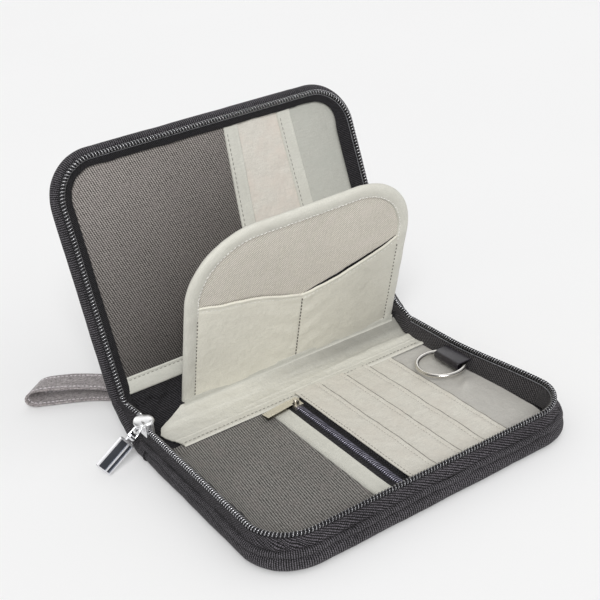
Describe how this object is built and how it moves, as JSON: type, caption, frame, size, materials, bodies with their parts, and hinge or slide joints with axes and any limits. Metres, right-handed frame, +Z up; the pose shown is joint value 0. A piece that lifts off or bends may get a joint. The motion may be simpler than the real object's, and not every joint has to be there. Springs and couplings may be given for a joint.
{
  "type": "passport holder",
  "caption": "Zip-round passport and travel document case, shown open: two padded leaves on a fabric spine, a standing centre page, card slots, a small zip pocket, a key ring and a wrist strap.",
  "frame": {"origin": "middle of the flat underside of the base leaf", "axes": "+X along the spine towards the key ring, +Y from the opening edge towards the spine, +Z up"},
  "size_m": [0.2382, 0.2554, 0.163],
  "materials": {
    "cover_cloth": "matte woven cloth",
    "roll_cloth": "ribbed twill over a padded cord",
    "black_cloth": "matte black woven lining and zip tape",
    "twill_grey": "diagonal twill",
    "tape_grey": "soft light grey binding tape",
    "satin_beige": "satin-faced lining cloth",
    "board": "stiffener sheet",
    "zip_coil": "nylon coil",
    "chrome": "polished",
    "nickel": "pale nickel, polished",
    "pu_black": "smooth coated strap",
    "strap_melange": "melange ribbon"
  },
  "bodies": {
    "base": {"base_cover": "cover_cloth", "base_board": "board", "base_lining": "twill_grey", "base_edge_roll": "roll_cloth", "base_seam_welt": "roll_cloth", "base_gusset": "cover_cloth", "base_zip_tape": "black_cloth", "base_zip_coil": "zip_coil", "base_wall_lining": "black_cloth", "zip_pocket_panel": "twill_grey", "zip_pocket_binding": "tape_grey", "pocket_zip_tape": "black_cloth", "pocket_zip_coil": "zip_coil", "card_backing": "satin_beige", "side_pocket": "tape_grey", "card_slot_1": "satin_beige", "card_slot_2": "satin_beige", "card_slot_3": "satin_beige", "card_slot_4": "satin_beige", "base_hinge_tape": "tape_grey", "strap_anchor": "strap_melange"},
    "spine": {"spine_cover": "cover_cloth", "spine_lining": "black_cloth", "spine_end_rolls": "roll_cloth", "page_hinge_tape": "tape_grey"},
    "lid": {"lid_cover": "cover_cloth", "lid_board": "board", "lid_lining": "twill_grey", "lid_edge_roll": "roll_cloth", "lid_zip_tape": "black_cloth", "lid_zip_coil": "zip_coil", "lid_wall_lining": "black_cloth", "lid_passport_pocket": "twill_grey", "lid_binding_1": "tape_grey", "lid_pocket_2": "satin_beige", "lid_binding_2": "tape_grey", "lid_pocket_3": "tape_grey", "lid_bottom_band": "tape_grey"},
    "page": {"page_board": "board", "page_front_cloth": "twill_grey", "page_back_cloth": "twill_grey", "page_binding": "tape_grey", "page_pocket_left": "satin_beige", "page_pocket_right": "satin_beige"},
    "main_zip_slider": {"main_slider": "chrome"},
    "main_zip_link": {"main_pull_link": "chrome"},
    "main_zip_pull": {"main_pull_tab": "chrome"},
    "small_zip_slider": {"pocket_zip_slider": "nickel"},
    "small_zip_pull": {"pocket_zip_pull": "nickel"},
    "key_loop": {"key_strap": "pu_black"},
    "key_ring": {"key_ring": "nickel"},
    "wrist_loop": {"wrist_strap": "strap_melange"}
  },
  "joints": [
    {"name": "spine_fold", "type": "hinge", "parent": "base", "child": "spine", "pos_m": [0, 0.075, 0.002], "axis": [-1, 0, 0], "range_deg": [-54, 21]},
    {"name": "lid_fold", "type": "hinge", "parent": "spine", "child": "lid", "pos_m": [0, 0.09927, 0.01963], "axis": [-1, 0, 0], "range_deg": [-54, 21]},
    {"name": "page_turn", "type": "hinge", "parent": "spine", "child": "page", "pos_m": [0, 0.08714, 0.01082], "axis": [-1, 0, 0], "range_deg": [-18, 7]},
    {"name": "main_zip_travel", "type": "slide", "parent": "base", "child": "main_zip_slider", "axis": [0, -1, 0], "range_m": [0, 0.1]},
    {"name": "pull_link_swing", "type": "hinge", "parent": "main_zip_slider", "child": "main_zip_link", "pos_m": [-0.1046, 0.0645, 0.0223], "axis": [0.5446, 0, -0.8387], "range_deg": [-40, 40]},
    {"name": "pull_tab_swing", "type": "hinge", "parent": "main_zip_link", "child": "main_zip_pull", "pos_m": [-0.10963, 0.0645, 0.01903], "axis": [0.5446, 0, -0.8387], "range_deg": [-45, 45]},
    {"name": "pocket_zip_travel", "type": "slide", "parent": "base", "child": "small_zip_slider", "axis": [0, -1, 0], "range_m": [0, 0.088]},
    {"name": "pocket_pull_swivel", "type": "hinge", "parent": "small_zip_slider", "child": "small_zip_pull", "pos_m": [-0.0105, 0.0475, 0.0093], "axis": [0, 0, 1], "range_deg": [-60, 60]},
    {"name": "key_loop_lift", "type": "hinge", "parent": "base", "child": "key_loop", "pos_m": [0.0935, 0.02, 0.0136], "axis": [0, 1, 0], "range_deg": [0, 60]},
    {"name": "key_ring_turn", "type": "hinge", "parent": "key_loop", "child": "key_ring", "pos_m": [0.079, 0.02, 0.0113], "axis": [0, 0, 1], "continuous": true},
    {"name": "wrist_strap_swing", "type": "hinge", "parent": "base", "child": "wrist_loop", "pos_m": [-0.062, 0.098, 0], "axis": [0, 0, 1], "range_deg": [-30, 25]}
  ],
  "couplings": [
    {"joint": "lid_fold", "follows": "spine_fold", "ratio": 1},
    {"joint": "page_turn", "follows": "spine_fold", "ratio": 0.33333}
  ]
}
